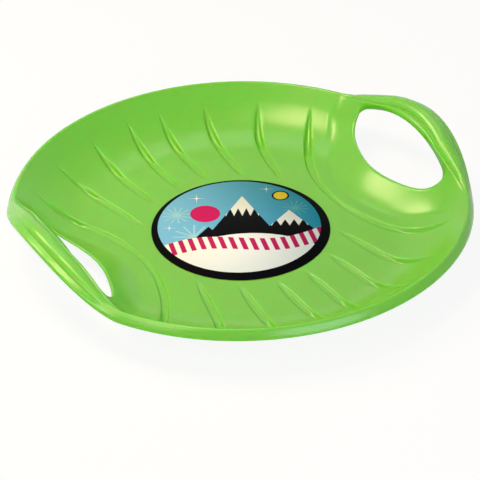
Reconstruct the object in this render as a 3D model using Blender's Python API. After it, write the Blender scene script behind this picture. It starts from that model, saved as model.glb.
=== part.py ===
"""Moulded snow saucer: a dished shell with runner ribs and two hand grips, and its centre label.

Metres, +Z up. The grips lie along X. The origin is the middle of the underside, on the plane
that the runner ribs stand on.
"""

import math

import bmesh
import bpy

# Lengths along a grip's axis, one after the other, from the middle out to the rim
LABEL_RADIUS = 0.1128
RIB_GAP = 0.0092
WRAP_INSET = 0.0150
SCOOP_INSET = 0.0210
SCOOP_DEPTH = 0.0426
OPENING_DEPTH = 0.0507
FLANGE_WIDTH = 0.0058
LEDGE_WIDTH = 0.0040
BEAD_WIDTH = 0.0209
GRIP_LIP_WIDTH = 0.0080

# Dish wall
SHEET = 0.0025
WALL_RUN = 0.0824
WALL_HEIGHT = 0.0348
WALL_CURVE = 2.16

# Rim: the wall's top slopes on up to a rounded crest, and the outer face falls steeply from it
RIM_RISE = 0.0175
RIM_WIDTH = 0.0276
CREST_INSET = 0.0028
RIM_SKIRT = 0.0102
CREST_INNER_SHARE = 0.22
CREST_OUTER_SHARE = 0.9
FACE_SHARES = (0.5, 0.8, 0.9)

# Hand grips
GRIP_RISE = 0.0387
GRIP_HALF_ANGLE = math.radians(30.8)
GRIP_CURVE = 1.46
GRIP_INNER_CURVE = 1.2
GRIP_PLAN_CURVE = 2.4
CREST_REACH = 1.2
BEAD_HALF_ANGLE = math.radians(26.0)
BEAD_CURVE = 0.5
BEAD_HEIGHT = 0.0082
BEAD_FOOT_HEIGHT = 0.0022
FLANGE_DROP = 0.0050
GRIP_LIP_DROP = 0.0015
GRIP_SKIRT = 0.0040

# Hand openings and the scoops that lead down from them
OPENING_HALF_ANGLE = math.radians(21.9)
CORNER_DEPTH = 0.0050
CORNER_ANGLE = math.radians(2.6)
SCOOP_END_ANGLE = math.radians(32.1)
SCOOP_POWER = 1.75
SCOOP_BASE_SHARE = 0.36

# Runner ribs
RIB_WIDTH = 0.0120
RIB_FLOOR_WIDTH = 0.0060
RIB_DEPTH = 0.0024
LEAF_LENGTH = 0.0600
LEAF_WIDTH = 0.0135
LEAF_DEPTH = 0.0046
LEAF_POWER = 0.6
LEAF_SIDE = 1.5
RIB_CAP = 0.0045
RIB_TIP_GAP = 0.0064
RIB_TIP_LENGTH = 0.0470
RIB_TIP_SHARE = 0.25
SOLE_TRIM = 0.00015
# Each straight rib: its angle at its inner end, at its tip, and how fast it turns between them
STRAIGHT_RIBS = (
    (math.radians(34.0), math.radians(54.2), 2.4),
    (math.radians(58.9), math.radians(70.6), 1.8),
    (math.radians(80.5), math.radians(84.6), 1.7),
)
WRAP_END_ANGLE = math.radians(38.2)
WRAP_POWER = 2.0

# Label
LABEL_THICKNESS = 0.0004
SEAT_GAP = 0.0003

# Mesh steps
FIELD_END_ANGLE = math.radians(40.5)
ROW_SHARES = (0.05, 0.1, 0.16, 0.24, 0.34, 0.46, 0.58, 0.7, 0.82, 0.92, 1.0)
GAP_SHARES = ((1 / 3, 2 / 3), (1 / 3, 2 / 3), (1 / 2,), ())
SCOOP_ROW_SHARES = (0.25, 0.5, 0.75)
OPENING_STEPS = 7
CREST_STEPS = 2
BEAD_STEPS = 5
LABEL_STEPS = 96
MERGE = 0.00001

RIB_START = LABEL_RADIUS + RIB_GAP
WRAP_START = RIB_START + WRAP_INSET
SCOOP_START = WRAP_START + SCOOP_INSET
BAR_WIDTH = FLANGE_WIDTH + LEDGE_WIDTH + BEAD_WIDTH + GRIP_LIP_WIDTH
RIM_RADIUS = SCOOP_START + SCOOP_DEPTH + OPENING_DEPTH + BAR_WIDTH
WALL_TOP = RIM_RADIUS - RIM_WIDTH
FLOOR_RADIUS = WALL_TOP - WALL_RUN
RIM_HEIGHT = WALL_HEIGHT + RIM_RISE
RIB_END = WALL_TOP - RIB_TIP_GAP
RIB_TAPER = RIB_END - RIB_TIP_LENGTH
FLOOR_TOP = RIB_DEPTH + SHEET
RIB_EDGES = (-0.5 * RIB_WIDTH, -0.5 * RIB_FLOOR_WIDTH, 0.5 * RIB_FLOOR_WIDTH, 0.5 * RIB_WIDTH)


def blend(a, b, share):
    return a + (b - a) * share


def between(a, b, share):
    return blend(a[0], b[0], share), blend(a[1], b[1], share)


def polar(radius, angle):
    return radius * math.cos(angle), radius * math.sin(angle)


def grip_weight(angle, curve, half_angle=GRIP_HALF_ANGLE):
    """1 in the middle of a grip, fading to 0 at the half angle."""
    turn = min(abs(angle) / half_angle, 1.0)
    return max(math.cos(0.5 * math.pi * turn), 0.0) ** curve


def plain_rim():
    """Corners of the plain rim's section: wall's top, crest, three points down the outer face, edge."""
    crest = (RIM_RADIUS - CREST_INSET, RIM_HEIGHT)
    edge = (RIM_RADIUS, RIM_HEIGHT - RIM_SKIRT)
    return [(WALL_TOP, WALL_HEIGHT), crest] + [between(crest, edge, share) for share in FACE_SHARES] + [edge]


def grip_rim():
    """The same corners on a grip's bar: opening's edge, fold, bead's inner and outer foot, lip, edge."""
    edge = (RIM_RADIUS, RIM_HEIGHT - RIM_SKIRT + GRIP_RISE)
    lip = (RIM_RADIUS, edge[1] + GRIP_SKIRT)
    heel = (lip[0] - GRIP_LIP_WIDTH, lip[1] + GRIP_LIP_DROP)
    foot = (heel[0] - BEAD_WIDTH, edge[1] + BEAD_FOOT_HEIGHT)
    fold = (foot[0] - LEDGE_WIDTH, foot[1])
    return [(fold[0] - FLANGE_WIDTH, fold[1] - FLANGE_DROP), fold, foot, heel, lip, edge]


def rim_corners(angle):
    """Corners at an angle: each leaves the plain rim at its own rate, in plan and in height."""
    turn = min(CREST_REACH * grip_weight(angle, 1.0), 1.0)
    bend, plan = turn * turn * (3.0 - 2.0 * turn), grip_weight(angle, GRIP_PLAN_CURVE)
    inner, rise = grip_weight(angle, GRIP_INNER_CURVE), grip_weight(angle, GRIP_CURVE)
    weights = ((plan, inner), (bend, inner), (bend, rise), (plan, rise), (plan, rise), (plan, rise))
    corners = []
    for plain, grip, (across, up) in zip(plain_rim(), grip_rim(), weights):
        corners.append((blend(plain[0], grip[0], across), blend(plain[1], grip[1], up)))
    return corners


def rim_section(angle):
    """Rim section at an angle from the grip's middle: rounded crest, bead, lip and edge."""
    top, crest, foot, heel, lip, edge = rim_corners(angle)
    points = [top]
    inner, outer = between(crest, top, CREST_INNER_SHARE), between(crest, foot, CREST_OUTER_SHARE)
    for step in range(CREST_STEPS + 1):
        share = step / CREST_STEPS
        points.append(between(between(inner, crest, share), between(crest, outer, share), share))
    height = BEAD_HEIGHT * grip_weight(angle, BEAD_CURVE, BEAD_HALF_ANGLE)
    for step in range(BEAD_STEPS + 1):
        turn = math.pi * step / BEAD_STEPS
        radius, base = between(foot, heel, 0.5 - 0.5 * math.cos(turn))
        points.append((radius, base + height * math.sin(turn)))
    return points + [lip, edge]


def bow_end(end_angle):
    return WALL_TOP * math.sin(end_angle)


def bow(start, end_angle, power, y):
    """X of a bow that crosses the grip's axis at start and runs outwards to the wall's top."""
    run = abs(y) / bow_end(end_angle)
    return start + (WALL_TOP * math.cos(end_angle) - start) * run ** power


def wrap_line(y):
    return bow(WRAP_START, WRAP_END_ANGLE, WRAP_POWER, y)


def scoop_line(y):
    return bow(SCOOP_START, SCOOP_END_ANGLE, SCOOP_POWER, y)


def field_line(y):
    """Bound between the straight ribs' field and the grip's own field."""
    return bow(RIB_START, FIELD_END_ANGLE, WRAP_POWER, y)


def rib_size(radius):
    """Share of a rib's full width and depth at a radius: whole at first, then drawn to a tip."""
    run = (radius - RIB_TAPER) / (RIB_END - RIB_TAPER)
    return blend(1.0, RIB_TIP_SHARE, min(max(run, 0.0), 1.0))


def wrap_stretch(y):
    """Length along X that one unit across the wrap rib takes at y."""
    step = 0.001 * WRAP_START
    slope = (wrap_line(y + step) - wrap_line(y)) / step
    return math.hypot(1.0, slope)


def rib_angle(rib, radius):
    start, tip, turn = rib
    left = (RIB_END - min(max(radius, RIB_START), RIB_END)) / (RIB_END - RIB_START)
    return tip - (tip - start) * left ** turn


def rib_spread(rib, radius, half_width):
    """Angle that a half width takes up at a radius, measured square to the rib."""
    radius = min(max(radius, RIB_START), RIB_END)
    step = 0.001 * RIB_START
    slope = radius * (rib_angle(rib, radius + step) - rib_angle(rib, radius - step)) / (2.0 * step)
    return half_width * rib_size(radius) * math.hypot(1.0, slope) / radius


def groove(distance, size):
    """Share of a rib's depth at a distance from its centre line: level floor, sloping sides."""
    top = 0.5 * RIB_WIDTH * size
    floor = 0.5 * RIB_FLOOR_WIDTH * size
    return min(max((top - abs(distance)) / (top - floor), 0.0), 1.0)


def wall_height(radius):
    run = max((radius - FLOOR_RADIUS) / (WALL_TOP - FLOOR_RADIUS), 0.0)
    return WALL_HEIGHT * run ** WALL_CURVE


def leaf_depth(distance, radius):
    """The deep pointed hollow where a rib's sole runs on into the rising wall."""
    run = (radius - (RIB_END - LEAF_LENGTH)) / LEAF_LENGTH
    if run <= 0.0 or run >= 1.0:
        return 0.0
    form = math.sin(math.pi * run ** LEAF_POWER)
    across = abs(distance) / (0.5 * LEAF_WIDTH * form)
    return LEAF_DEPTH * form * min(max(LEAF_SIDE * (1.0 - across), 0.0), 1.0)


def band_depth(distance, radius):
    """The shallow band of a rib, squared off at its inner end and drawn to a tip on the wall."""
    rise = min(max((radius - RIB_START) / RIB_CAP, 0.0), 1.0)
    run = min(max((radius - RIB_TAPER) / (RIB_END - RIB_TAPER), 0.0), 1.0)
    return RIB_DEPTH * rise * (1.0 - run ** 2) * groove(distance, rib_size(radius))


def rib_depth(x, y):
    radius = math.hypot(x, y)
    distances = [(abs(x) - wrap_line(y)) / wrap_stretch(y)]
    for rib in STRAIGHT_RIBS:
        turn = math.atan2(abs(y), abs(x)) - rib_angle(rib, radius)
        spread = rib_spread(rib, radius, 0.5 * RIB_WIDTH)
        distances.append(turn * 0.5 * RIB_WIDTH * rib_size(radius) / spread)
    nearest = min(distances, key=abs)
    depth = band_depth(nearest, radius) + leaf_depth(nearest, radius)
    return min(depth, RIB_DEPTH + wall_height(radius))


def search(test, low, high):
    """Value between low and high where the test stops being true."""
    for _ in range(40):
        middle = 0.5 * (low + high)
        if test(middle):
            low = middle
        else:
            high = middle
    return low


def scoop_radius(angle):
    """Radius at which a line from the middle enters the scoop, or the wall's top beyond it."""
    top = rim_corners(angle)[0][0]
    if angle >= SCOOP_END_ANGLE:
        return top
    y = search(lambda side: math.atan2(side, scoop_line(side)) < angle, 0.0, bow_end(SCOOP_END_ANGLE))
    return min(math.hypot(y, scoop_line(y)), top)


def surface_height(x, y):
    """Height of the dish's upper face over its floor, inside the rim section."""
    radius = math.hypot(x, y)
    angle = math.atan2(abs(y), abs(x))
    base = scoop_radius(angle)
    top, top_height = rim_corners(angle)[0]
    if radius <= base or top - base < MERGE:
        return wall_height(radius) - rib_depth(x, y)
    share = min((radius - base) / (top - base), 1.0)
    rise = SCOOP_BASE_SHARE * share + (1.0 - SCOOP_BASE_SHARE) * share ** 2
    return blend(wall_height(base), top_height, rise) - rib_depth(x, y)


def top_radius(angle):
    """Radius of the wall's top row, drawn in a little round the opening's end."""
    run = (angle - (OPENING_HALF_ANGLE - CORNER_ANGLE)) / CORNER_ANGLE
    if run <= 0.0 or run >= 3.0:
        dip = 0.0
    elif run <= 1.0:
        dip = 1.0 - math.sqrt(1.0 - run * run)
    else:
        dip = 0.5 + 0.5 * math.cos(0.5 * math.pi * (run - 1.0))
    return rim_corners(angle)[0][0] - CORNER_DEPTH * dip


def on_surface(x, y):
    return x, y, surface_height(x, y)


def field_angle(radius):
    """Angle of the field's bound at a radius."""
    y = search(lambda side: math.hypot(side, field_line(side)) < radius, 0.0, bow_end(FIELD_END_ANGLE))
    return math.atan2(y, field_line(y))


def field_guides():
    """Angles that bound the field's columns, as functions of the radius: bound, ribs, half plane."""
    guides = [field_angle]
    for rib in STRAIGHT_RIBS:
        for edge in RIB_EDGES:
            guides.append(lambda radius, r=rib, e=edge: rib_angle(r, radius) + rib_spread(r, radius, e))
    guides.append(lambda radius: 0.5 * math.pi)
    return guides


def field_columns():
    """Every column of the ribs' field as a function that gives its angle at a radius."""
    guides = field_guides()
    result = []
    for index, (low, high) in enumerate(zip(guides[:-1], guides[1:])):
        gap = GAP_SHARES[index // len(RIB_EDGES)] if index % len(RIB_EDGES) == 0 else ()
        for share in (0.0,) + gap:
            result.append(lambda radius, a=low, b=high, s=share: blend(a(radius), b(radius), s))
    result.append(guides[-1])
    return result


def row_radii():
    first = RIB_START + RIB_CAP
    return [RIB_START, first] + [blend(first, WALL_TOP, share) for share in ROW_SHARES]


def field_patch():
    """Points of the straight ribs' field: columns along the ribs, rows round the dish."""
    patch = []
    for column in field_columns():
        patch.append([on_surface(*polar(radius, column(radius))) for radius in row_radii()])
    return patch


def middle_patch():
    """Points of the flat middle under the label, drawn together at the dish's centre."""
    rim = [column[0] for column in field_patch()]
    return [[(0.0, 0.0, 0.0), point] for point in rim]


def field_edge(share):
    """Point at a share of the way along the bound between the two fields."""
    y = share * bow_end(FIELD_END_ANGLE)
    return field_line(y), y


def scoop_edge(share):
    """Point at a share of the way along the line where the scoop begins."""
    y = share * bow_end(SCOOP_END_ANGLE)
    return scoop_line(y), y


def wrap_edge(edge, share):
    """Point at a share of the way along one edge of the wrap rib."""
    y = share * bow_end(WRAP_END_ANGLE)
    size = rib_size(math.hypot(wrap_line(y), y))
    return wrap_line(y) + edge * size * wrap_stretch(y), y


def opening_edge(share):
    """Point at a share of the way along the opening's inner edge, from the grip's axis to its end."""
    turn = 0.5 * math.pi * share
    angle = OPENING_HALF_ANGLE * math.sin(turn)
    outer = rim_corners(angle)[0][0] - CORNER_DEPTH
    return polar(outer - (OPENING_DEPTH - CORNER_DEPTH) * math.cos(turn), angle)


def grip_lines():
    """Lines of the grip's field, from its bound over the wrap rib and the scoop to the opening."""
    lines = [field_edge]
    for edge in RIB_EDGES:
        lines.append(lambda share, e=edge: wrap_edge(e, share))
    lines.append(scoop_edge)
    for part in SCOOP_ROW_SHARES:
        lines.append(lambda share, p=part: between(scoop_edge(share), opening_edge(share), p))
    lines.append(opening_edge)
    return lines


def grip_patch():
    """Points of the grip's field: lines round the grip, crossed by steps that meet the field's rows."""
    shares = []
    for radius in row_radii():
        shares.append(radius * math.sin(field_angle(radius)) / bow_end(FIELD_END_ANGLE))
    patch = []
    for line in grip_lines():
        points = [line(share) for share in shares[:-1]]
        end = line(1.0)
        angle = math.atan2(end[1], end[0])
        points.append(polar(top_radius(angle), angle))
        patch.append([on_surface(*point) for point in points])
    return patch


def rim_patch():
    """Points of the rim, from the wall's top row over the crest and the grip's bead to the lower edge."""
    angles = [column(WALL_TOP) for column in reversed(field_columns())]
    ends = [line[-1] for line in grip_patch()[1:]]
    angles += [math.atan2(point[1], point[0]) for point in ends]
    for step in range(OPENING_STEPS - 1, -1, -1):
        angles.append(OPENING_HALF_ANGLE * math.sin(0.5 * math.pi * step / OPENING_STEPS))
    patch = []
    for angle in angles:
        points = [on_surface(*polar(top_radius(angle), angle))]
        points += [(*polar(radius, angle), height) for radius, height in rim_section(angle)[1:]]
        patch.append(points)
    return patch


def material(name, color, roughness, coat=0.0):
    surface = bpy.data.materials.new(name)
    surface.use_nodes = True
    shader = surface.node_tree.nodes["Principled BSDF"]
    shader.inputs["Base Color"].default_value = (*color, 1.0)
    shader.inputs["Roughness"].default_value = roughness
    shader.inputs["Coat Weight"].default_value = coat
    surface.diffuse_color = (*color, 1.0)
    return surface


def add_object(name, mesh, surface):
    piece = bpy.data.objects.new(name, mesh)
    bpy.context.collection.objects.link(piece)
    mesh.materials.append(surface)
    return piece


def add_patch(sheet, points):
    """A grid in the sheet whose vertices take the given points, column by column."""
    steps, rows = len(points) - 1, len(points[0]) - 1
    made = bmesh.ops.create_grid(sheet, x_segments=steps, y_segments=rows, size=0.5)
    for vert in made["verts"]:
        column, row = round((vert.co.x + 0.5) * steps), round((vert.co.y + 0.5) * rows)
        vert.co = points[column][row]
        vert.co.z += FLOOR_TOP


def quarter_sheet():
    """One quarter of the shell's upper face, less the hand opening."""
    sheet = bmesh.new()
    for points in (middle_patch(), field_patch(), grip_patch(), rim_patch()):
        add_patch(sheet, points)
    for vert in sheet.verts:
        if abs(vert.co.x) < MERGE:
            vert.co.x = 0.0
    bmesh.ops.remove_doubles(sheet, verts=sheet.verts, dist=MERGE)
    bmesh.ops.recalc_face_normals(sheet, faces=sheet.faces)
    if sum(face.normal.z for face in sheet.faces) < 0.0:
        bmesh.ops.reverse_faces(sheet, faces=sheet.faces)
    mesh = bpy.data.meshes.new("sled_shell")
    sheet.to_mesh(mesh)
    sheet.free()
    return mesh


def level_soles(shell):
    """Takes the modifiers' result as the mesh and brings the ribs' soles onto the ground plane."""
    view = bpy.context.evaluated_depsgraph_get()
    mesh = bpy.data.meshes.new_from_object(shell.evaluated_get(view))
    shell.modifiers.clear()
    shell.data = mesh
    for vert in mesh.vertices:
        if vert.co.z < SOLE_TRIM:
            vert.co.z = 0.0


def sled_shell():
    """The one-piece moulding: the quarter sheet mirrored twice and given its thickness downwards."""
    polyethylene = material("green_polyethylene", (0.26, 0.58, 0.07), 0.3)
    shell = add_object("sled_shell", quarter_sheet(), polyethylene)
    mirror = shell.modifiers.new("two halves", "MIRROR")
    mirror.use_axis = (True, True, False)
    mirror.merge_threshold = MERGE
    thickness = shell.modifiers.new("moulded thickness", "SOLIDIFY")
    thickness.thickness = SHEET
    thickness.offset = -1.0
    thickness.use_even_offset = True
    shell.data.shade_smooth()
    level_soles(shell)


def centre_label():
    disc = bmesh.new()
    bmesh.ops.create_cone(
        disc,
        cap_ends=True,
        segments=LABEL_STEPS,
        radius1=LABEL_RADIUS,
        radius2=LABEL_RADIUS,
        depth=LABEL_THICKNESS,
    )
    mesh = bpy.data.meshes.new("centre_label")
    disc.to_mesh(mesh)
    disc.free()
    label = add_object("centre_label", mesh, material("printed_film", (0.16, 0.55, 0.66), 0.35, 0.5))
    label.location.z = FLOOR_TOP + SEAT_GAP + 0.5 * LABEL_THICKNESS


def main():
    for old in list(bpy.data.objects):
        bpy.data.objects.remove(old, do_unlink=True)
    sled_shell()
    centre_label()


main()
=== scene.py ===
"""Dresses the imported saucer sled: its moulded polyethylene shell and the printed label on its floor."""

import math

import bmesh
import bpy
from mathutils import Matrix, Vector


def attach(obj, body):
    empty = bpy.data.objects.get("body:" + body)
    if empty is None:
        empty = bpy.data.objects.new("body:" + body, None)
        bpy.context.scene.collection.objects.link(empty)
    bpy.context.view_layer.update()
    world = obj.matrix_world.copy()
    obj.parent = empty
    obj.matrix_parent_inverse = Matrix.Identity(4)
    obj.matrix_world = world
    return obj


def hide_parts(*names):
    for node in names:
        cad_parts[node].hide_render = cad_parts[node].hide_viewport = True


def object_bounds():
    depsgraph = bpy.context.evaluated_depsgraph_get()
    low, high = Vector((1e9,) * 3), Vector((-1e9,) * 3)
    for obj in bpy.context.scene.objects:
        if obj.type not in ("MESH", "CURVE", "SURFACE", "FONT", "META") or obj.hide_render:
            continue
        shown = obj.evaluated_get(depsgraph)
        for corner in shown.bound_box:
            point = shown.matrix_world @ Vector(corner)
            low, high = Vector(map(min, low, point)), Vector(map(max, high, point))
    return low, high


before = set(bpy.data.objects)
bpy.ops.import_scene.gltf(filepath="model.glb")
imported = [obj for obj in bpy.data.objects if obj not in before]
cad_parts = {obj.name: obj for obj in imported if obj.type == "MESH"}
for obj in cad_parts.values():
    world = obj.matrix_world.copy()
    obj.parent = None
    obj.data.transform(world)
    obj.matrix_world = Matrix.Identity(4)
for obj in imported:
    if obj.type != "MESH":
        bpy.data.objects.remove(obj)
cad_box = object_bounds()

# Radial chain along a grip's axis, from the label out to the rim, in metres as the CAD part has it
LABEL_RADIUS = 0.1128
RIB_GAP = 0.0092
WRAP_INSET = 0.0150
SCOOP_INSET = 0.0210
SCOOP_DEPTH = 0.0426
OPENING_DEPTH = 0.0507
FLANGE_WIDTH = 0.0058
LEDGE_WIDTH = 0.0040
BEAD_WIDTH = 0.0209
GRIP_LIP_WIDTH = 0.0080

# Dish: an even sheet whose wall rises by a power of the distance from the floor's edge
SHEET = 0.0025
WALL_RUN = 0.0824
WALL_HEIGHT = 0.0348
WALL_CURVE = 2.16

# Plain rim between the grips: insets are taken from its edge, and drops from its height
RIM_WIDTH = 0.0276
RIM_RISE = 0.0182
RIM_SKIRT = 0.0109
SHOULDER_INSET = 0.0125
SHOULDER_DROP = 0.0032
DOME_FOOT_INSET = 0.0113
DOME_FOOT_DROP = 0.0021
DOME_HEEL_INSET = 0.0040
DOME_HEEL_DROP = 0.0033
DOME_HEIGHT = 0.0026
FLANK_INSET = 0.0013
FLANK_DROP = 0.0074

# Roundings of crest and lip: where each starts and ends, as a share of the way to the next corner
CREST_START = 0.22
CREST_END = 0.9
LIP_FLAT = 0.1
LIP_START = 0.7
LIP_END = 0.6

# Hand grips: their curves are the powers by which the plain rim turns into the grip's own section
GRIP_RISE = 0.0387
GRIP_HALF_ANGLE = math.radians(30.8)
GRIP_CURVE = 1.46
GRIP_INNER_CURVE = 1.2
GRIP_PLAN_CURVE = 2.4
CREST_REACH = 1.2
BEAD_HALF_ANGLE = math.radians(26.0)
BEAD_CURVE = 0.5
BEAD_HEIGHT = 0.0082
BEAD_FOOT_HEIGHT = 0.0022
FLANGE_DROP = 0.0050
GRIP_LIP_DROP = 0.0015
GRIP_SKIRT = 0.0040

# Hand openings, whose corners fade into the rim over some corner angles, and the scoops inside them
OPENING_HALF_ANGLE = math.radians(21.9)
CORNER_DEPTH = 0.0050
CORNER_ANGLE = math.radians(2.6)
CORNER_FADE = 2.0
SCOOP_END_ANGLE = math.radians(32.1)
SCOOP_POWER = 1.75
SCOOP_BASE_SHARE = 0.36

# Runner ribs: a groove's width at the floor and at its sole, and how it starts and ends
RIB_WIDTH = 0.0120
RIB_FLOOR_WIDTH = 0.0060
RIB_DEPTH = 0.0024
RIB_CAP = 0.0260
RIB_ROOT_LENGTH = 0.0450
RIB_ROOT_SHARE = 0.55
RIB_TIP_GAP = 0.0064
RIB_TIP_LENGTH = 0.0470
RIB_TIP_SHARE = 0.25

# Leaves: the pointed hollows where the ribs run into the wall
LEAF_TIP_GAP = 0.0015
LEAF_LENGTH = 0.0650
LEAF_WIDTH = 0.0145
LEAF_DEPTH = 0.0038
LEAF_POWER = 0.65
LEAF_FULLNESS = 0.8
LEAF_SIDE = 1.15

# Straight ribs of one quarter: angle at the root, angle at the tip, and power of the turn between them
STRAIGHT_RIBS = (
    (math.radians(34.0), math.radians(54.2), 2.4),
    (math.radians(58.9), math.radians(70.6), 1.8),
    (math.radians(80.5), math.radians(84.6), 1.7),
)

# Ribs that wrap round the scoops, and the line between them and the straight ribs' field
WRAP_END_ANGLE = math.radians(38.2)
WRAP_POWER = 2.0
FIELD_END_ANGLE = math.radians(40.5)

# Label on its seat
LABEL_THICKNESS = 0.0004
SEAT_GAP = 0.0003

# Mesh steps of one quarter, across the ribs' field from its bound to the far axis, then along ribs,
# scoops, openings and rim, and of the whole label
GAP_STEPS = (12, 12, 10, 4)
RIB_SIDE_STEPS = 5
RIB_FLOOR_STEPS = 4
CAP_STEPS = 9
ROW_STEPS = 46
BOUND_STEPS = 4
BESIDE_STEPS = 5
SCOOP_STEPS = 14
OPENING_STEPS = 36
CREST_STEPS = 6
BEAD_STEPS = 18
LABEL_STEPS = 192

# Working values: a size too small to matter, a share of a radius for slopes, and rounds of a search
MERGE = 0.00001
SLOPE_STEP = 0.001
SEARCH_ROUNDS = 30

# Easing of folds: passes, strength, and the highest cosine between a face above and the one below it
FOLD_PASSES = 16
FOLD_EASE = 0.5
FOLD_LIMIT = -0.6

# Radii and heights that follow from the lengths above
RIB_START = LABEL_RADIUS + RIB_GAP
WRAP_START = RIB_START + WRAP_INSET
SCOOP_START = WRAP_START + SCOOP_INSET
BAR_WIDTH = FLANGE_WIDTH + LEDGE_WIDTH + BEAD_WIDTH + GRIP_LIP_WIDTH
RIM_RADIUS = SCOOP_START + SCOOP_DEPTH + OPENING_DEPTH + BAR_WIDTH
WALL_TOP = RIM_RADIUS - RIM_WIDTH
FLOOR_RADIUS = WALL_TOP - WALL_RUN
RIM_HEIGHT = WALL_HEIGHT + RIM_RISE
RIB_END = WALL_TOP - RIB_TIP_GAP
RIB_TAPER = RIB_END - RIB_TIP_LENGTH
LEAF_START = WALL_TOP - LEAF_TIP_GAP - LEAF_LENGTH
FLOOR_TOP = RIB_DEPTH + SHEET


# Shape laws: heights are above the dish floor, and angles are from the nearest grip's axis

def blend(a, b, share):
    return a + (b - a) * share


def between(a, b, share):
    return blend(a[0], b[0], share), blend(a[1], b[1], share)


def polar(radius, angle):
    return radius * math.cos(angle), radius * math.sin(angle)


def clamp(value, low=0.0, high=1.0):
    return min(max(value, low), high)


def ease(value):
    """Smooth step, which rounds the bends that a mould's cutter leaves rounded."""
    value = clamp(value)
    return value * value * (3.0 - 2.0 * value)


def search(test, low, high):
    """Largest value that still passes the test, found by halving."""
    for _ in range(SEARCH_ROUNDS):
        middle = 0.5 * (low + high)
        if test(middle):
            low = middle
        else:
            high = middle
    return low


def grip_weight(angle, curve, half_angle=GRIP_HALF_ANGLE):
    """One at the grip's middle, and nothing from the half angle on."""
    turn = min(abs(angle) / half_angle, 1.0)
    return max(math.cos(0.5 * math.pi * turn), 0.0) ** curve


def plain_rim():
    """Corners of the plain rim's section as radius and height, from the dish out to the edge."""
    top = (WALL_TOP, WALL_HEIGHT)
    shoulder = (RIM_RADIUS - SHOULDER_INSET, RIM_HEIGHT - SHOULDER_DROP)
    foot = (RIM_RADIUS - DOME_FOOT_INSET, RIM_HEIGHT - DOME_FOOT_DROP)
    heel = (RIM_RADIUS - DOME_HEEL_INSET, RIM_HEIGHT - DOME_HEEL_DROP)
    flank = (RIM_RADIUS - FLANK_INSET, RIM_HEIGHT - FLANK_DROP)
    edge = (RIM_RADIUS, RIM_HEIGHT - RIM_SKIRT)
    return [top, shoulder, foot, heel, flank, edge]


def grip_rim():
    """Corners of the section in the middle of a grip, in the same order as the plain rim's."""
    edge = (RIM_RADIUS, RIM_HEIGHT - RIM_SKIRT + GRIP_RISE)
    lip = (RIM_RADIUS, edge[1] + GRIP_SKIRT)
    heel = (lip[0] - GRIP_LIP_WIDTH, lip[1] + GRIP_LIP_DROP)
    foot = (heel[0] - BEAD_WIDTH, edge[1] + BEAD_FOOT_HEIGHT)
    fold = (foot[0] - LEDGE_WIDTH, foot[1])
    top = (fold[0] - FLANGE_WIDTH, fold[1] - FLANGE_DROP)
    return [top, fold, foot, heel, lip, edge]


RIM_CORNERS = tuple(zip(plain_rim(), grip_rim()))


def rim_corners(angle):
    """Corners at an angle: each leaves the plain rim at its own rate, in plan and in height."""
    bend = ease(CREST_REACH * grip_weight(angle, 1.0))
    plan = grip_weight(angle, GRIP_PLAN_CURVE)
    inner = grip_weight(angle, GRIP_INNER_CURVE)
    rise = grip_weight(angle, GRIP_CURVE)
    weights = ((plan, inner), (bend, inner), (bend, rise), (bend, rise), (bend, rise), (plan, rise))
    corners = []
    for (plain, grip), (across, up) in zip(RIM_CORNERS, weights):
        corners.append((blend(plain[0], grip[0], across), blend(plain[1], grip[1], up)))
    return corners


def rim_top(angle):
    """Radius and height of the line where the dish's wall ends and the rim starts."""
    return rim_corners(angle)[0]


def rounded(start, corner, end):
    """Points of a smooth bend from start to end, drawn towards the corner between them."""
    points = []
    for step in range(CREST_STEPS + 1):
        share = step / CREST_STEPS
        points.append(between(between(start, corner, share), between(corner, end, share), share))
    return points


def rim_section(angle):
    """Rim section at an angle: rounded crest, dome or bead, lip and edge. A plain rim's dome swells
    softly from its foot, and a grip's bead stands up from it as a half round."""
    top, fold, foot, heel, lip, edge = rim_corners(angle)
    points = [top] + rounded(between(fold, top, CREST_START), fold, between(fold, foot, CREST_END))
    weight = grip_weight(angle, BEAD_CURVE, BEAD_HALF_ANGLE)
    height = blend(DOME_HEIGHT, BEAD_HEIGHT, weight)
    for step in range(BEAD_STEPS + 1):
        turn = math.pi * step / BEAD_STEPS
        radius, base = between(foot, heel, 0.5 - 0.5 * math.cos(turn))
        points.append((radius, base + height * math.sin(turn) ** (2.0 - weight)))
    points.append(between(heel, lip, LIP_FLAT))
    points += rounded(between(heel, lip, LIP_START), lip, between(lip, edge, LIP_END))
    return points + [edge]


def bow_end(end_angle):
    """Distance from the grip's axis at which a bowed line meets the wall's top."""
    return WALL_TOP * math.sin(end_angle)


def bow(start, end_angle, power, y):
    """Distance out from the centre at y, on a line that bows from the grip's axis to the wall's top."""
    run = abs(y) / bow_end(end_angle)
    return start + (WALL_TOP * math.cos(end_angle) - start) * run ** power


def wrap_line(y):
    return bow(WRAP_START, WRAP_END_ANGLE, WRAP_POWER, y)


def scoop_line(y):
    return bow(SCOOP_START, SCOOP_END_ANGLE, SCOOP_POWER, y)


def field_line(y):
    return bow(RIB_START, FIELD_END_ANGLE, WRAP_POWER, y)


def tip_run(radius):
    """Share of a rib's taper that is behind a radius."""
    return clamp((radius - RIB_TAPER) / (RIB_END - RIB_TAPER))


def rib_size(radius):
    """Share of a rib's full width at a radius: narrower at its root and again at its tip."""
    root = blend(RIB_ROOT_SHARE, 1.0, ease((radius - RIB_START) / RIB_ROOT_LENGTH))
    return root * blend(1.0, RIB_TIP_SHARE, tip_run(radius))


def leaf_form(radius):
    """Share of the leaf's full width and depth at a radius."""
    run = (radius - LEAF_START) / LEAF_LENGTH
    if run <= 0.0 or run >= 1.0:
        return 0.0
    return math.sin(math.pi * run ** LEAF_POWER) ** LEAF_FULLNESS


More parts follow.
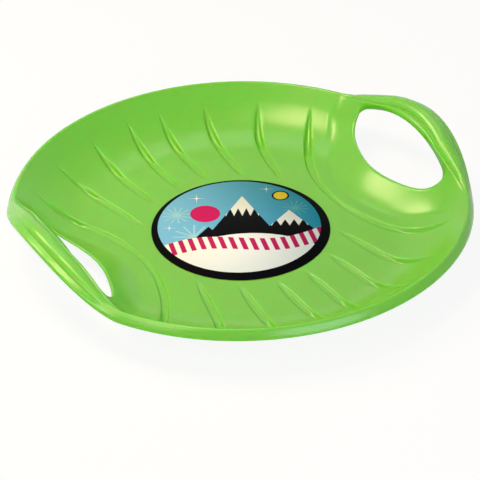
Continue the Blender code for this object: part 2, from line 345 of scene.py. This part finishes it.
def column_size(radius):
    """Share of the full rib's width that the rib's mesh lines cover, so that they take in its leaf too."""
    return max(rib_size(radius), LEAF_WIDTH * leaf_form(radius) / RIB_WIDTH)


def wrap_stretch(y):
    """Width of a wrapping rib along the grip's axis for each unit of width across the rib."""
    step = SLOPE_STEP * WRAP_START
    return math.hypot(1.0, (wrap_line(y + step) - wrap_line(y)) / step)


def rib_angle(rib, radius):
    """Angle of a straight rib's centre line at a radius."""
    start, tip, turn = rib
    left = (RIB_END - clamp(radius, RIB_START, RIB_END)) / (RIB_END - RIB_START)
    return tip - (tip - start) * left ** turn


def rib_spread(rib, radius, half_width):
    """Angle that a half width across a straight rib takes up at a radius."""
    radius = clamp(radius, RIB_START, RIB_END)
    step = SLOPE_STEP * RIB_START
    slope = radius * (rib_angle(rib, radius + step) - rib_angle(rib, radius - step)) / (2.0 * step)
    return half_width * math.hypot(1.0, slope) / radius


def band_share(distance, size):
    """Share of the groove's depth at a distance from a rib's centre line."""
    top = 0.5 * RIB_WIDTH * size
    floor = 0.5 * RIB_FLOOR_WIDTH * size
    return ease((top - abs(distance)) / (top - floor))


def leaf_depth(distance, radius):
    """The deep pointed hollow where a rib's level sole runs into the rising wall."""
    form = leaf_form(radius)
    if form < MERGE:
        return 0.0
    across = abs(distance) / (0.5 * LEAF_WIDTH * form)
    return LEAF_DEPTH * form * ease(LEAF_SIDE * (1.0 - across))


def wall_height(radius):
    run = max((radius - FLOOR_RADIUS) / (WALL_TOP - FLOOR_RADIUS), 0.0)
    return WALL_HEIGHT * run ** WALL_CURVE


def rib_depth(x, y):
    """Depth of the nearest rib and its leaf, never below the plane of the soles."""
    radius = math.hypot(x, y)
    distances = [(abs(x) - wrap_line(y)) / wrap_stretch(y)]
    for rib in STRAIGHT_RIBS:
        turn = math.atan2(abs(y), abs(x)) - rib_angle(rib, radius)
        distances.append(turn / rib_spread(rib, radius, 1.0))
    nearest = min(distances, key=abs)
    rise = ease((radius - RIB_START) / RIB_CAP)
    run = tip_run(radius)
    band = RIB_DEPTH * rise * (1.0 - run * run) * band_share(nearest, rib_size(radius))
    return min(band + leaf_depth(nearest, radius), RIB_DEPTH + wall_height(radius))


def scoop_radius(angle):
    """Radius at which the wall turns up into a scoop, or the wall's top where there is none."""
    top = rim_top(angle)[0]
    if angle >= SCOOP_END_ANGLE:
        return top
    y = search(lambda side: math.atan2(side, scoop_line(side)) < angle, 0.0, bow_end(SCOOP_END_ANGLE))
    return min(math.hypot(y, scoop_line(y)), top)


def surface_height(x, y):
    """Height of the dish's upper face: floor, wall and scoops, less the ribs' grooves."""
    radius = math.hypot(x, y)
    angle = math.atan2(abs(y), abs(x))
    base = scoop_radius(angle)
    top, top_height = rim_top(angle)
    if radius <= base or top - base < MERGE:
        return wall_height(radius) - rib_depth(x, y)
    share = min((radius - base) / (top - base), 1.0)
    rise = SCOOP_BASE_SHARE * share + (1.0 - SCOOP_BASE_SHARE) * share ** 2
    return blend(wall_height(base), top_height, rise) - rib_depth(x, y)


def top_radius(angle):
    """Radius where the rim starts, drawn in beside an opening's end so that its corner is rounded."""
    run = (angle - (OPENING_HALF_ANGLE - CORNER_ANGLE)) / CORNER_ANGLE
    if run <= 0.0 or run >= 1.0 + CORNER_FADE:
        dip = 0.0
    elif run <= 1.0:
        dip = 1.0 - math.sqrt(1.0 - run * run)
    else:
        dip = 0.5 + 0.5 * math.cos(math.pi * (run - 1.0) / CORNER_FADE)
    return rim_top(angle)[0] - CORNER_DEPTH * dip


def on_surface(x, y):
    return x, y, surface_height(x, y)


def field_angle(radius):
    """Angle at which the straight ribs' field starts at a radius."""
    y = search(lambda side: math.hypot(side, field_line(side)) < radius, 0.0, bow_end(FIELD_END_ANGLE))
    return math.atan2(y, field_line(y))


# Patches of one quarter: each is a list of columns of points, and neighbours share their edge points

def rib_edges():
    """Distances of the lines along a rib from its centre line."""
    edges = []
    for step in range(RIB_SIDE_STEPS):
        edges.append(-0.5 * blend(RIB_WIDTH, RIB_FLOOR_WIDTH, step / RIB_SIDE_STEPS))
    for step in range(RIB_FLOOR_STEPS):
        edges.append(-0.5 * RIB_FLOOR_WIDTH + RIB_FLOOR_WIDTH * step / RIB_FLOOR_STEPS)
    for step in range(RIB_SIDE_STEPS + 1):
        edges.append(0.5 * blend(RIB_FLOOR_WIDTH, RIB_WIDTH, step / RIB_SIDE_STEPS))
    return edges


RIB_EDGES = rib_edges()


def row_radii():
    """Radii of the rows: along the caps where the ribs start, and from there to the wall's top."""
    radii = [RIB_START + RIB_CAP * step / CAP_STEPS for step in range(CAP_STEPS)]
    radii += [blend(RIB_START + RIB_CAP, WALL_TOP, step / ROW_STEPS) for step in range(ROW_STEPS + 1)]
    return radii


def column_angles(radius):
    """Angles of the straight field's columns at one radius."""
    low = field_angle(radius)
    size = column_size(radius)
    angles = []
    for rib, steps in zip(STRAIGHT_RIBS, GAP_STEPS):
        centre = rib_angle(rib, radius)
        first = centre + rib_spread(rib, radius, RIB_EDGES[0] * size)
        angles += [blend(low, first, step / steps) for step in range(steps)]
        angles += [centre + rib_spread(rib, radius, edge * size) for edge in RIB_EDGES[:-1]]
        low = centre + rib_spread(rib, radius, RIB_EDGES[-1] * size)
    angles += [blend(low, 0.5 * math.pi, step / GAP_STEPS[-1]) for step in range(GAP_STEPS[-1] + 1)]
    return angles


def field_patch():
    """The field of straight ribs, from the bound to the far axis."""
    rows = []
    for radius in row_radii():
        rows.append([on_surface(*polar(radius, angle)) for angle in column_angles(radius)])
    return [list(column) for column in zip(*rows)]


def middle_patch(field):
    """The level middle of the floor, under the label and just round it."""
    return [[(0.0, 0.0, 0.0), column[0]] for column in field]


def bowed(line, end_angle, share):
    """Point at a share of the way along a bowed line."""
    y = share * bow_end(end_angle)
    return line(y), y


def wrap_edge(edge, share):
    """Point beside the wrapping rib's centre line, at a share of the way along it."""
    y = share * bow_end(WRAP_END_ANGLE)
    size = column_size(math.hypot(wrap_line(y), y))
    return wrap_line(y) + edge * size * wrap_stretch(y), y


def opening_edge(share):
    """Point on the opening's inner edge, a quarter of an oval from the grip's axis to the opening's end."""
    turn = 0.5 * math.pi * share
    angle = OPENING_HALF_ANGLE * math.sin(turn)
    outer = rim_top(angle)[0] - CORNER_DEPTH
    return polar(outer - (OPENING_DEPTH - CORNER_DEPTH) * math.cos(turn), angle)


def grip_line_points(share):
    """Points across the grip's field at one share along its lines, from its bound to the opening."""
    bound = bowed(field_line, FIELD_END_ANGLE, share)
    ribs = [wrap_edge(edge, share) for edge in RIB_EDGES]
    scoop = bowed(scoop_line, SCOOP_END_ANGLE, share)
    edge = opening_edge(share)
    points = [between(bound, ribs[0], step / BOUND_STEPS) for step in range(BOUND_STEPS)]
    points += ribs[:-1]
    points += [between(ribs[-1], scoop, step / BESIDE_STEPS) for step in range(BESIDE_STEPS)]
    points += [between(scoop, edge, step / SCOOP_STEPS) for step in range(SCOOP_STEPS + 1)]
    return points


def grip_patch():
    """The grip's field: the wrapping rib and the scoop, up to the opening and the wall's top."""
    rows = []
    for radius in row_radii()[:-1]:
        share = radius * math.sin(field_angle(radius)) / bow_end(FIELD_END_ANGLE)
        rows.append([on_surface(*point) for point in grip_line_points(share)])
    top = []
    for x, y in grip_line_points(1.0):
        angle = math.atan2(y, x)
        top.append(on_surface(*polar(top_radius(angle), angle)))
    rows.append(top)
    return [list(line) for line in zip(*rows)]


def rim_patch(grip):
    """Rim sections from the far axis to the grip's, at the angles where the other patches end."""
    angles = list(reversed(column_angles(WALL_TOP)))
    angles += [math.atan2(line[-1][1], line[-1][0]) for line in grip[1:]]
    for step in range(OPENING_STEPS - 1, -1, -1):
        angles.append(OPENING_HALF_ANGLE * math.sin(0.5 * math.pi * step / OPENING_STEPS))
    patch = []
    for angle in angles:
        points = [on_surface(*polar(top_radius(angle), angle))]
        points += [(*polar(radius, angle), height) for radius, height in rim_section(angle)[1:]]
        patch.append(points)
    return patch


def add_patch(sheet, points):
    """Adds a grid and lays its vertices on a patch's points."""
    steps = len(points) - 1
    rows = len(points[0]) - 1
    made = bmesh.ops.create_grid(sheet, x_segments=steps, y_segments=rows, size=0.5)
    for vert in made["verts"]:
        column = round((vert.co.x + 0.5) * steps)
        row = round((vert.co.y + 0.5) * rows)
        vert.co = points[column][row]
        vert.co.z += FLOOR_TOP


def finished_piece(name, form, surface, replaced):
    """Makes a piece of a bmesh, with its material, its body and the CAD node that it stands for."""
    mesh = bpy.data.meshes.new(name)
    form.to_mesh(mesh)
    form.free()
    mesh.materials.append(surface)
    mesh.shade_smooth()
    piece = bpy.data.objects.new(name, mesh)
    bpy.context.scene.collection.objects.link(piece)
    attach(piece, "root")
    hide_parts(replaced)
    return piece


def relax_folds(mesh):
    """Eases the sheet's underside where a bend tighter than the sheet is thick folds it over itself.
    The Solidify modifier lists the underside's vertices and faces after the top's, in the same order."""
    half = len(mesh.vertices) // 2
    sheet = bmesh.new()
    sheet.from_mesh(mesh)
    tops = []
    unders = []
    fixed = set()
    for face in sheet.faces:
        below = [vert.index >= half for vert in face.verts]
        if all(below):
            unders.append(face)
        elif not any(below):
            tops.append(face)
        else:
            fixed.update(face.verts)
    for _ in range(FOLD_PASSES):
        sheet.normal_update()
        loose = set()
        for top, under in zip(tops, unders):
            if top.normal.dot(under.normal) > FOLD_LIMIT:
                loose.update(under.verts)
        loose |= {edge.other_vert(vert) for vert in loose for edge in vert.link_edges}
        loose = [vert for vert in sheet.verts if vert in loose and vert not in fixed and vert.index >= half]
        bmesh.ops.smooth_vert(sheet, verts=loose, factor=FOLD_EASE,
                              use_axis_x=True, use_axis_y=True, use_axis_z=True)
    sheet.to_mesh(mesh)
    sheet.free()


def level_soles(shell):
    """Takes the modifiers' result as the mesh and brings the ribs' soles onto the ground plane."""
    view = bpy.context.evaluated_depsgraph_get()
    mesh = bpy.data.meshes.new_from_object(shell.evaluated_get(view))
    shell.modifiers.clear()
    shell.data = mesh
    relax_folds(mesh)
    for vert in mesh.vertices:
        vert.co.z = clamp(vert.co.z, 0.0, cad_box[1][2])


def moulded_shell(surface):
    """The whole moulding: one quarter's patches, mirrored twice and given the sheet's thickness."""
    sheet = bmesh.new()
    field = field_patch()
    grip = grip_patch()
    for points in (middle_patch(field), field, grip, rim_patch(grip)):
        add_patch(sheet, points)
    for vert in sheet.verts:
        if abs(vert.co.x) < MERGE:
            vert.co.x = 0.0
    bmesh.ops.remove_doubles(sheet, verts=sheet.verts, dist=MERGE)
    bmesh.ops.recalc_face_normals(sheet, faces=sheet.faces)
    if sum(face.normal.z for face in sheet.faces) < 0.0:
        bmesh.ops.reverse_faces(sheet, faces=sheet.faces)
    shell = finished_piece("moulded_shell", sheet, surface, "sled_shell")
    mirror = shell.modifiers.new("two halves", "MIRROR")
    mirror.use_axis = (True, True, False)
    mirror.merge_threshold = MERGE
    thickness = shell.modifiers.new("moulded thickness", "SOLIDIFY")
    thickness.thickness = SHEET
    thickness.offset = -1.0
    thickness.use_even_offset = True
    level_soles(shell)


def label_disc(surface):
    """The round film, laid flat over its seat."""
    disc = bmesh.new()
    place = Matrix.Translation((0.0, 0.0, FLOOR_TOP + SEAT_GAP + 0.5 * LABEL_THICKNESS))
    bmesh.ops.create_cone(disc, cap_ends=True, segments=LABEL_STEPS, radius1=LABEL_RADIUS,
                          radius2=LABEL_RADIUS, depth=LABEL_THICKNESS, matrix=place)
    finished_piece("snow_label", disc, surface, "centre_label")


# Materials

def linear(code):
    """sRGB hex to linear RGBA."""
    parts = [int(code[start:start + 2], 16) / 255.0 for start in (0, 2, 4)]
    return (*[p / 12.92 if p <= 0.04045 else ((p + 0.055) / 1.055) ** 2.4 for p in parts], 1.0)


def node(tree, kind, inputs=None, **settings):
    """Adds a node, sets its options, and gives each input a value, a socket or a node's first output."""
    made = tree.nodes.new(kind)
    for name, value in settings.items():
        setattr(made, name, value)
    for key, value in (inputs or {}).items():
        if isinstance(value, bpy.types.Node):
            value = value.outputs[0]
        if isinstance(value, bpy.types.NodeSocket):
            tree.links.new(value, made.inputs[key])
        else:
            made.inputs[key].default_value = value
    return made


def new_material(name, finish):
    """A material, with the values that are the same all over it on its shader's own sockets."""
    surface = bpy.data.materials.new(name)
    surface.use_nodes = True
    shader = surface.node_tree.nodes["Principled BSDF"]
    for socket, value in finish.items():
        shader.inputs[socket].default_value = value
    return surface, surface.node_tree, shader


# Mould's texture in metres, nine grains to a centimetre. The real one is finer, and it is drawn this
# coarse so that it shows in the render, where it breaks up the gloss
GRAIN_WIDTH = 0.01 / 9.0
GRAIN_HEIGHT = 0.0004
GRAIN_STRENGTH = 0.05


def polyethylene():
    """Injection-moulded polyethylene: waxy gloss over a fine moulding texture. Light soaks into the thin
    translucent sheet and spreads most in green, so bends and edges glow instead of going dark."""
    surface, tree, shader = new_material("moulded_polyethylene_green", {
        "Base Color": linear("74C624"), "Roughness": 0.24, "IOR": 1.51, "Specular IOR Level": 0.5,
        "Subsurface Weight": 1.0, "Subsurface Radius": (0.12, 1.0, 0.3), "Subsurface Scale": 0.006})
    place = node(tree, "ShaderNodeTexCoord").outputs["Object"]
    grain = node(tree, "ShaderNodeTexNoise", {"Vector": place, "Scale": 1.0 / GRAIN_WIDTH, "Detail": 2.0})
    bump = node(tree, "ShaderNodeBump", {
        "Height": grain.outputs["Fac"], "Strength": GRAIN_STRENGTH, "Distance": GRAIN_HEIGHT})
    tree.links.new(bump.outputs["Normal"], shader.inputs["Normal"])
    return surface


# The label's print: each shape is a mask in its own frame, where its half sizes are one, and its ink
# is laid over the ink below it

# Toothed snow line of a peak, waves and stripes of the ribbon, arms of a flake, and waist of a spark
PEAK_TOOTH = 0.11
PEAK_TOOTH_STEEPNESS = 1.7
PEAK_SNOW_LINE = 0.52
RIBBON_WAVE = 3.1
RIBBON_STRIPES = 9.0
FLAKE_ARMS = 12.0
FLAKE_ARM_WIDTH = 0.09
SPARK_WAIST = 0.012


def disc_mask(tree, at):
    """One inside the unit circle."""
    ball = node(tree, "ShaderNodeTexGradient", {"Vector": at}, gradient_type="SPHERICAL")
    return node(tree, "ShaderNodeMath", {0: ball.outputs["Fac"], 1: 0.0}, operation="GREATER_THAN")


def peak_mask(tree, at):
    """A diamond whose corners lie on the axes. The hills in front of a peak hide its lower half."""
    whole = node(tree, "ShaderNodeVectorMath", {0: at}, operation="ABSOLUTE")
    reach = node(tree, "ShaderNodeVectorMath", {0: whole, 1: (1.0, 1.0, 0.0)}, operation="DOT_PRODUCT")
    return node(tree, "ShaderNodeMath", {0: reach.outputs["Value"], 1: 1.0}, operation="LESS_THAN")


def cap_mask(tree, at):
    """The snow on a peak, with a toothed lower edge."""
    part = node(tree, "ShaderNodeSeparateXYZ", {0: at})
    teeth = node(tree, "ShaderNodeMath", {0: part.outputs["X"], 1: PEAK_TOOTH}, operation="PINGPONG")
    edge = node(tree, "ShaderNodeMath", {0: teeth, 1: PEAK_TOOTH_STEEPNESS, 2: PEAK_SNOW_LINE},
                operation="MULTIPLY_ADD")
    above = node(tree, "ShaderNodeMath", {0: part.outputs["Y"], 1: edge}, operation="GREATER_THAN")
    return node(tree, "ShaderNodeMath", {0: above, 1: peak_mask(tree, at)}, operation="MULTIPLY")


def ribbon_mask(tree, at):
    """A long band that waves up and down along its length."""
    part = node(tree, "ShaderNodeSeparateXYZ", {0: at})
    turn = node(tree, "ShaderNodeMath", {0: part.outputs["X"], 1: RIBBON_WAVE}, operation="MULTIPLY")
    wave = node(tree, "ShaderNodeMath", {0: turn}, operation="SINE")
    line = node(tree, "ShaderNodeMath", {0: wave, 1: part.outputs["Y"]}, operation="ADD")
    return node(tree, "ShaderNodeMath", {0: line, 1: 0.0, 2: 1.0}, operation="COMPARE")


def stripe_mask(tree, at):
    """Every second stripe across the waving band."""
    part = node(tree, "ShaderNodeSeparateXYZ", {0: at})
    turn = node(tree, "ShaderNodeMath", {0: part.outputs["X"], 1: RIBBON_STRIPES}, operation="MULTIPLY")
    saw = node(tree, "ShaderNodeMath", {0: turn}, operation="FRACT")
    half = node(tree, "ShaderNodeMath", {0: saw, 1: 0.5}, operation="LESS_THAN")
    return node(tree, "ShaderNodeMath", {0: half, 1: ribbon_mask(tree, at)}, operation="MULTIPLY")


def flake_mask(tree, at):
    """A snow crystal: thin arms that stop at the unit circle."""
    turn = node(tree, "ShaderNodeTexGradient", {"Vector": at}, gradient_type="RADIAL")
    arms = node(tree, "ShaderNodeMath", {0: turn.outputs["Fac"], 1: FLAKE_ARMS}, operation="MULTIPLY")
    off = node(tree, "ShaderNodeMath", {0: arms, 1: 0.5}, operation="PINGPONG")
    far = node(tree, "ShaderNodeVectorMath", {0: at}, operation="LENGTH")
    side = node(tree, "ShaderNodeMath", {0: off, 1: far.outputs["Value"]}, operation="MULTIPLY")
    thin = node(tree, "ShaderNodeMath", {0: side, 1: FLAKE_ARM_WIDTH}, operation="LESS_THAN")
    return node(tree, "ShaderNodeMath", {0: thin, 1: disc_mask(tree, at)}, operation="MULTIPLY")


def spark_mask(tree, at):
    """A four-pointed sparkle."""
    part = node(tree, "ShaderNodeSeparateXYZ", {0: at})
    both = node(tree, "ShaderNodeMath", {0: part.outputs["X"], 1: part.outputs["Y"]}, operation="MULTIPLY")
    waist = node(tree, "ShaderNodeMath", {0: both, 1: 0.0, 2: SPARK_WAIST}, operation="COMPARE")
    return node(tree, "ShaderNodeMath", {0: waist, 1: disc_mask(tree, at)}, operation="MULTIPLY")


# Inks
BLACK = "040308"
WHITE = "EEF5FF"
PINK = "C8206E"
DARK_PINK = "BE2468"
YELLOW = "F6DC4A"
FROST = "B8E2EE"
SEA_GREEN = "7CC8CE"
SKY_LIGHT = "80C4FF"
SKY_DEEP = "2498C4"

# Each printed shape: its mask, middle and half sizes in label radii, turn in degrees, ink, and cover
PRINT = (
    (flake_mask, (-0.72, 0.28), (0.17, 0.17), 10.0, FROST, 0.55),
    (flake_mask, (-0.52, -0.16), (0.24, 0.24), 0.0, FROST, 0.55),
    (flake_mask, (0.62, 0.40), (0.15, 0.15), 20.0, SEA_GREEN, 0.5),
    (spark_mask, (-0.50, 0.62), (0.10, 0.10), 0.0, WHITE, 1.0),
    (spark_mask, (-0.80, 0.02), (0.07, 0.07), 0.0, WHITE, 1.0),
    (spark_mask, (0.30, 0.80), (0.08, 0.08), 0.0, WHITE, 1.0),
    (disc_mask, (-0.40, 0.30), (0.17, 0.17), 0.0, PINK, 1.0),
    (disc_mask, (0.46, 0.66), (0.10, 0.10), 0.0, BLACK, 1.0),
    (disc_mask, (0.46, 0.66), (0.08, 0.08), 0.0, YELLOW, 1.0),
    (peak_mask, (0.02, -0.20), (0.42, 0.86), 0.0, BLACK, 1.0),
    (cap_mask, (0.02, -0.20), (0.42, 0.86), 0.0, WHITE, 1.0),
    (peak_mask, (0.55, -0.30), (0.46, 0.66), 0.0, BLACK, 1.0),
    (cap_mask, (0.55, -0.30), (0.46, 0.66), 0.0, WHITE, 1.0),
    (peak_mask, (-0.36, -0.42), (0.30, 0.46), 0.0, BLACK, 1.0),
    (disc_mask, (0.12, -1.12), (1.10, 1.02), 0.0, WHITE, 1.0),
    (ribbon_mask, (0.00, -0.30), (1.00, 0.12), 14.0, WHITE, 1.0),
    (stripe_mask, (0.00, -0.30), (1.00, 0.12), 14.0, DARK_PINK, 1.0),
)

# The whole print's turn in degrees, how far its sky shades to each side, and the round window inside
# the black ring, in label radii
PRINT_TURN = 30.0
SKY_REACH = 0.95
WINDOW_MIDDLE = (-0.016, 0.056)
WINDOW_RADIUS = 0.915

# A colour Mix node's two inks and its result, by number because its sockets share their names
BELOW = 6
ABOVE = 7
MIXED = 2


def film():
    """Self-adhesive vinyl film, offset-printed and matt-laminated: flat dense inks, next to no shine."""
    surface, tree, shader = new_material("printed_film", {"Roughness": 0.6, "Specular IOR Level": 0.03})
    scale = 1.0 / LABEL_RADIUS
    place = node(tree, "ShaderNodeMapping", {
        "Vector": node(tree, "ShaderNodeTexCoord").outputs["Object"],
        "Rotation": (0.0, 0.0, math.radians(PRINT_TURN)), "Scale": (scale, scale, 0.0)})
    across = node(tree, "ShaderNodeSeparateXYZ", {0: place}).outputs["X"]
    sky = node(tree, "ShaderNodeMapRange", {"Value": across, "From Min": -SKY_REACH, "From Max": SKY_REACH})
    ink = node(tree, "ShaderNodeMix", {
        0: sky, BELOW: linear(SKY_LIGHT), ABOVE: linear(SKY_DEEP)}, data_type="RGBA")
    for mask, middle, half, turn, colour, cover in PRINT:
        at = node(tree, "ShaderNodeMapping", {
            "Vector": place, "Location": (*middle, 0.0), "Rotation": (0.0, 0.0, math.radians(turn)),
            "Scale": (*half, 1.0)}, vector_type="TEXTURE")
        amount = node(tree, "ShaderNodeMath", {0: mask(tree, at), 1: cover}, operation="MULTIPLY")
        ink = node(tree, "ShaderNodeMix", {
            0: amount, BELOW: ink.outputs[MIXED], ABOVE: linear(colour)}, data_type="RGBA")
    window = node(tree, "ShaderNodeMapping", {
        "Vector": place, "Location": (*WINDOW_MIDDLE, 0.0), "Scale": (WINDOW_RADIUS, WINDOW_RADIUS, 1.0)},
        vector_type="TEXTURE")
    ring = node(tree, "ShaderNodeMix", {
        0: disc_mask(tree, window), BELOW: linear(BLACK), ABOVE: ink.outputs[MIXED]}, data_type="RGBA")
    tree.links.new(ring.outputs[MIXED], shader.inputs["Base Color"])
    return surface


# Camera, fitted to the sled's outline: angles in degrees, distance in metres, lens and sensor in
# millimetres, and the frame's width and the point on the camera's axis in pixels
CAMERA_AZIMUTH = -30.0839
CAMERA_ELEVATION = 33.8951
CAMERA_ROLL = -0.7422
CAMERA_DISTANCE = 2.4633
CAMERA_LENS = 146.51914
CAMERA_SENSOR = 36.0
FRAME_WIDTH = 480.0
FRAME_POINT = (240.7616, 228.6484)


def photo_camera():
    """The camera that looks at the label's middle from the photograph's side."""
    azimuth, elevation = math.radians(CAMERA_AZIMUTH), math.radians(CAMERA_ELEVATION)
    roll = math.radians(CAMERA_ROLL)
    back = Vector((math.sin(azimuth) * math.cos(elevation), -math.cos(azimuth) * math.cos(elevation),
                   math.sin(elevation)))
    right = Vector((math.cos(azimuth), math.sin(azimuth), 0.0))
    up = back.cross(right)
    across = math.cos(roll) * right + math.sin(roll) * up
    upward = -math.sin(roll) * right + math.cos(roll) * up
    data = bpy.data.cameras.new("photo_camera")
    camera = bpy.data.objects.new("photo_camera", data)
    bpy.context.scene.collection.objects.link(camera)
    turn = Matrix((across, upward, back)).transposed().to_4x4()
    camera.matrix_world = Matrix.Translation(back * CAMERA_DISTANCE + Vector((0.0, 0.0, FLOOR_TOP))) @ turn
    data.sensor_width = CAMERA_SENSOR
    data.lens = CAMERA_LENS
    data.shift_x = (0.5 * FRAME_WIDTH - FRAME_POINT[0]) / FRAME_WIDTH
    data.shift_y = (FRAME_POINT[1] - 0.5 * FRAME_WIDTH) / FRAME_WIDTH
    bpy.context.scene.camera = camera


# Soft boxes round the sled: name, azimuth and elevation in degrees, width in metres, watts, and colour
LAMPS = (
    ("key", 121.0, 50.0, 0.8, 17.5, "FFE6B8"),
    ("top", 150.0, 74.0, 0.6, 11.5, "FFE4B0"),
    ("left", 200.0, 36.0, 0.8, 9.0, "FFF0D8"),
    ("front", 274.0, 24.0, 1.2, 13.0, "EAF1FF"),
    ("back", 60.0, 60.0, 0.9, 3.0, "F4FAFF"),
)
LAMP_DISTANCE = 1.8

# How much the surround lights the sled, how much the seen floor glows, and the floor's half width
WORLD_LIGHT = 0.06
FLOOR_GLOW = 0.9
FLOOR_HALF_WIDTH = 6.0


def soft_light(name, azimuth, elevation, width, power, colour):
    azimuth, elevation = math.radians(azimuth), math.radians(elevation)
    direction = Vector((*polar(math.cos(elevation), azimuth), math.sin(elevation)))
    data = bpy.data.lights.new(name, "AREA")
    data.shape = "DISK"
    data.size = width
    data.energy = power
    data.color = linear(colour)[:3]
    lamp = bpy.data.objects.new(name, data)
    bpy.context.scene.collection.objects.link(lamp)
    lamp.location = direction * LAMP_DISTANCE
    lamp.rotation_euler = direction.to_track_quat("Z", "Y").to_euler()


def seen_or_mirrored(tree):
    """One for rays from the camera, off gloss or through clear material, and nothing for the rest."""
    ray = node(tree, "ShaderNodeLightPath")
    mirrored = node(tree, "ShaderNodeMath", {
        0: ray.outputs["Is Glossy Ray"], 1: ray.outputs["Is Transmission Ray"]}, operation="MAXIMUM")
    return node(tree, "ShaderNodeMath", {0: ray.outputs["Is Camera Ray"], 1: mirrored}, operation="MAXIMUM")


def studio():
    """A white surround that is seen at full strength and lights the sled only a little, and the lamps."""
    bpy.context.scene.view_settings.view_transform = "Standard"
    world = bpy.data.worlds.new("studio")
    world.use_nodes = True
    bpy.context.scene.world = world
    shade = world.node_tree.nodes["Background"]
    shade.inputs["Color"].default_value = linear("FFFFFF")
    level = node(world.node_tree, "ShaderNodeMapRange", {
        "Value": seen_or_mirrored(world.node_tree), "To Min": WORLD_LIGHT, "To Max": 1.0})
    world.node_tree.links.new(level.outputs["Result"], shade.inputs["Strength"])
    for lamp in LAMPS:
        soft_light(*lamp)


def floor():
    """Matt white paper, which glows most of the way to white where it is seen and keeps a soft shadow."""
    ground = bmesh.new()
    bmesh.ops.create_grid(ground, x_segments=1, y_segments=1, size=FLOOR_HALF_WIDTH)
    mesh = bpy.data.meshes.new("studio_floor")
    ground.to_mesh(mesh)
    ground.free()
    piece = bpy.data.objects.new("studio_floor", mesh)
    bpy.context.scene.collection.objects.link(piece)
    surface, tree, shader = new_material("white_floor", {"Base Color": linear("F4F4F4"), "Roughness": 0.9})
    glow = node(tree, "ShaderNodeEmission", {"Color": linear("FFFFFF"), "Strength": 1.0})
    amount = node(tree, "ShaderNodeMath", {0: seen_or_mirrored(tree), 1: FLOOR_GLOW}, operation="MULTIPLY")
    mix = node(tree, "ShaderNodeMixShader", {0: amount, 1: shader, 2: glow})
    tree.links.new(mix.outputs[0], tree.nodes["Material Output"].inputs["Surface"])
    mesh.materials.append(surface)


moulded_shell(polyethylene())
label_disc(film())
photo_camera()
studio()
floor()
